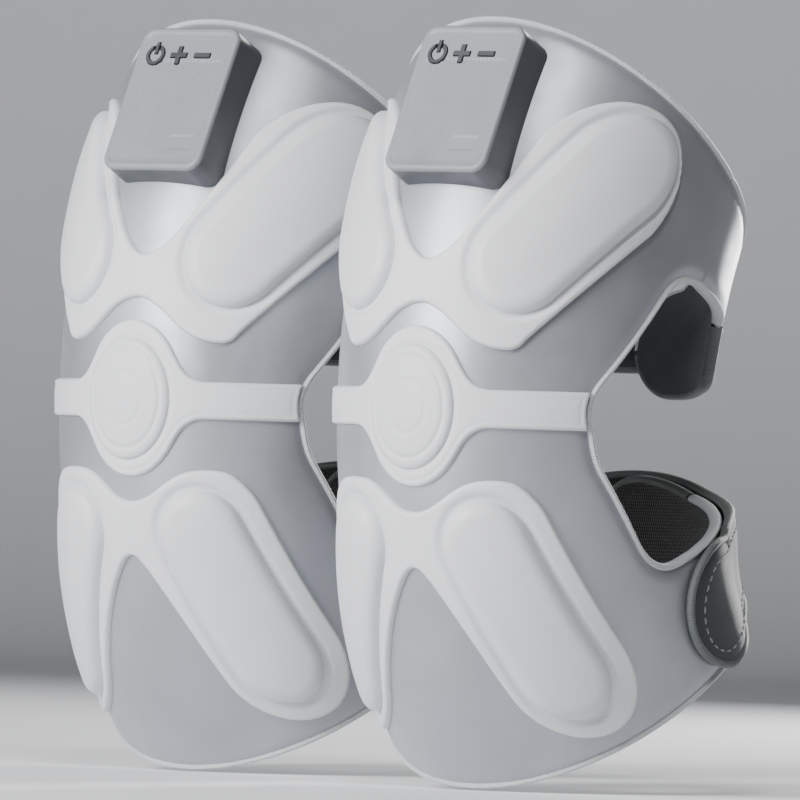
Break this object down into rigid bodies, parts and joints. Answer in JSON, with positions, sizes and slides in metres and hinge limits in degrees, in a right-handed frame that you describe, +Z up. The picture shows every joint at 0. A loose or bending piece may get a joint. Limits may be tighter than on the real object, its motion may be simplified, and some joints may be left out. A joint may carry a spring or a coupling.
{
  "type": "heated knee massager wrap pair",
  "caption": "Pair of cordless wrap-around knee massagers: bent padded shells with vibration pods, a three-button controller and hook-and-loop straps behind the knee.",
  "frame": {"origin": "centre of the knee inside the left guard, level with its kneecap disc", "axes": "front of the knee towards -Y, +Z up the thigh, +X to the viewer's right; the right guard stands towards -X"},
  "size_m": [0.2792, 0.1981, 0.253],
  "materials": {
    "shell_fabric": "satin",
    "lining_mesh": "matte",
    "heating_film": "satin",
    "flex_wiring": "satin",
    "binding_tape": "matte",
    "white_plate": "matte",
    "white_pod": "matte",
    "motor_can": "brushed",
    "controller_face": "satin",
    "controller_body": "satin",
    "button_key": "satin",
    "circuit_board": "satin",
    "battery_pouch": "satin",
    "socket_shell": "brushed",
    "screw_steel": "satin",
    "hook_tape": "matte"
  },
  "bodies": {
    "left_guard": {"left_outer_shell": "shell_fabric", "left_mesh_lining": "lining_mesh", "left_heating_film": "heating_film", "left_wiring_harness": "flex_wiring", "left_edge_binding": "binding_tape", "left_upper_overlay": "white_plate", "left_lower_overlay": "white_plate", "left_kneecap_band": "white_plate", "left_kneecap_disc": "white_plate", "left_vibration_motors": "motor_can", "left_controller_cover": "controller_face", "left_controller_housing": "controller_body", "left_circuit_board": "circuit_board", "left_battery": "battery_pouch", "left_usb_socket": "socket_shell", "left_controller_screws": "screw_steel", "left_upper_inner_pod": "white_pod", "left_upper_outer_pod": "white_pod", "left_lower_inner_pod": "white_pod", "left_lower_outer_pod": "white_pod"},
    "left_power_key": {"left_power_button": "button_key"},
    "left_plus_key": {"left_plus_button": "button_key"},
    "left_minus_key": {"left_minus_button": "button_key"},
    "left_upper_outer_strap": {"left_upper_outer_wing": "shell_fabric", "left_upper_hook_tape": "hook_tape"},
    "left_upper_inner_strap": {"left_upper_inner_wing": "shell_fabric"},
    "left_lower_outer_strap": {"left_lower_outer_wing": "shell_fabric", "left_lower_hook_tape": "hook_tape"},
    "left_lower_inner_strap": {"left_lower_inner_wing": "shell_fabric"},
    "right_guard": {"right_outer_shell": "shell_fabric", "right_mesh_lining": "lining_mesh", "right_heating_film": "heating_film", "right_wiring_harness": "flex_wiring", "right_edge_binding": "binding_tape", "right_upper_overlay": "white_plate", "right_lower_overlay": "white_plate", "right_kneecap_band": "white_plate", "right_kneecap_disc": "white_plate", "right_vibration_motors": "motor_can", "right_controller_cover": "controller_face", "right_controller_housing": "controller_body", "right_circuit_board": "circuit_board", "right_battery": "battery_pouch", "right_usb_socket": "socket_shell", "right_controller_screws": "screw_steel", "right_upper_inner_pod": "white_pod", "right_upper_outer_pod": "white_pod", "right_lower_inner_pod": "white_pod", "right_lower_outer_pod": "white_pod"},
    "right_power_key": {"right_power_button": "button_key"},
    "right_plus_key": {"right_plus_button": "button_key"},
    "right_minus_key": {"right_minus_button": "button_key"},
    "right_upper_outer_strap": {"right_upper_outer_wing": "shell_fabric", "right_upper_hook_tape": "hook_tape"},
    "right_upper_inner_strap": {"right_upper_inner_wing": "shell_fabric"},
    "right_lower_outer_strap": {"right_lower_outer_wing": "shell_fabric", "right_lower_hook_tape": "hook_tape"},
    "right_lower_inner_strap": {"right_lower_inner_wing": "shell_fabric"}
  },
  "joints": [
    {"name": "pair_spacing", "type": "slide", "parent": "left_guard", "child": "right_guard", "axis": [-1, 0, 0], "range_m": [0, 0.15]},
    {"name": "left_power_press", "type": "slide", "parent": "left_guard", "child": "left_power_key", "axis": [0, 0.8975, -0.4409], "range_m": [0, 0.0004], "stiffness_N_per_m": 400, "springref_m": -0.0004},
    {"name": "left_plus_press", "type": "slide", "parent": "left_guard", "child": "left_plus_key", "axis": [0, 0.8975, -0.4409], "range_m": [0, 0.0004], "stiffness_N_per_m": 400, "springref_m": -0.0004},
    {"name": "left_minus_press", "type": "slide", "parent": "left_guard", "child": "left_minus_key", "axis": [0, 0.8975, -0.4409], "range_m": [0, 0.0004], "stiffness_N_per_m": 400, "springref_m": -0.0004},
    {"name": "left_upper_strap_open", "type": "hinge", "parent": "left_guard", "child": "left_upper_outer_strap", "pos_m": [-0.06037, 0.02317, 0.05424], "axis": [0, 0.2173, 0.9761], "range_deg": [0, 60]},
    {"name": "left_upper_inner_strap_open", "type": "hinge", "parent": "left_guard", "child": "left_upper_inner_strap", "pos_m": [0.06037, 0.02317, 0.05424], "axis": [0, -0.2173, -0.9761], "range_deg": [0, 24.5]},
    {"name": "left_lower_strap_open", "type": "hinge", "parent": "left_guard", "child": "left_lower_outer_strap", "pos_m": [-0.06037, 0.02488, -0.05962], "axis": [0, -0.2408, 0.9706], "range_deg": [0, 60]},
    {"name": "left_lower_inner_strap_open", "type": "hinge", "parent": "left_guard", "child": "left_lower_inner_strap", "pos_m": [0.06037, 0.02488, -0.05962], "axis": [0, 0.2408, -0.9706], "range_deg": [0, 24.5]},
    {"name": "right_power_press", "type": "slide", "parent": "right_guard", "child": "right_power_key", "axis": [0, 0.8975, -0.4409], "range_m": [0, 0.0004], "stiffness_N_per_m": 400, "springref_m": -0.0004},
    {"name": "right_plus_press", "type": "slide", "parent": "right_guard", "child": "right_plus_key", "axis": [0, 0.8975, -0.4409], "range_m": [0, 0.0004], "stiffness_N_per_m": 400, "springref_m": -0.0004},
    {"name": "right_minus_press", "type": "slide", "parent": "right_guard", "child": "right_minus_key", "axis": [0, 0.8975, -0.4409], "range_m": [0, 0.0004], "stiffness_N_per_m": 400, "springref_m": -0.0004},
    {"name": "right_upper_strap_open", "type": "hinge", "parent": "right_guard", "child": "right_upper_outer_strap", "pos_m": [-0.21237, 0.07318, 0.05424], "axis": [0, 0.2173, 0.9761], "range_deg": [0, 60]},
    {"name": "right_upper_inner_strap_open", "type": "hinge", "parent": "right_guard", "child": "right_upper_inner_strap", "pos_m": [-0.09163, 0.07318, 0.05424], "axis": [0, -0.2173, -0.9761], "range_deg": [0, 24.5]},
    {"name": "right_lower_strap_open", "type": "hinge", "parent": "right_guard", "child": "right_lower_outer_strap", "pos_m": [-0.21237, 0.07489, -0.05962], "axis": [0, -0.2408, 0.9706], "range_deg": [0, 60]},
    {"name": "right_lower_inner_strap_open", "type": "hinge", "parent": "right_guard", "child": "right_lower_inner_strap", "pos_m": [-0.09163, 0.07489, -0.05962], "axis": [0, 0.2408, -0.9706], "range_deg": [0, 24.5]}
  ],
  "couplings": [
    {"joint": "left_upper_inner_strap_open", "follows": "left_upper_strap_open", "ratio": 0.4},
    {"joint": "left_lower_inner_strap_open", "follows": "left_lower_strap_open", "ratio": 0.4},
    {"joint": "right_upper_inner_strap_open", "follows": "right_upper_strap_open", "ratio": 0.4},
    {"joint": "right_lower_inner_strap_open", "follows": "right_lower_strap_open", "ratio": 0.4}
  ]
}
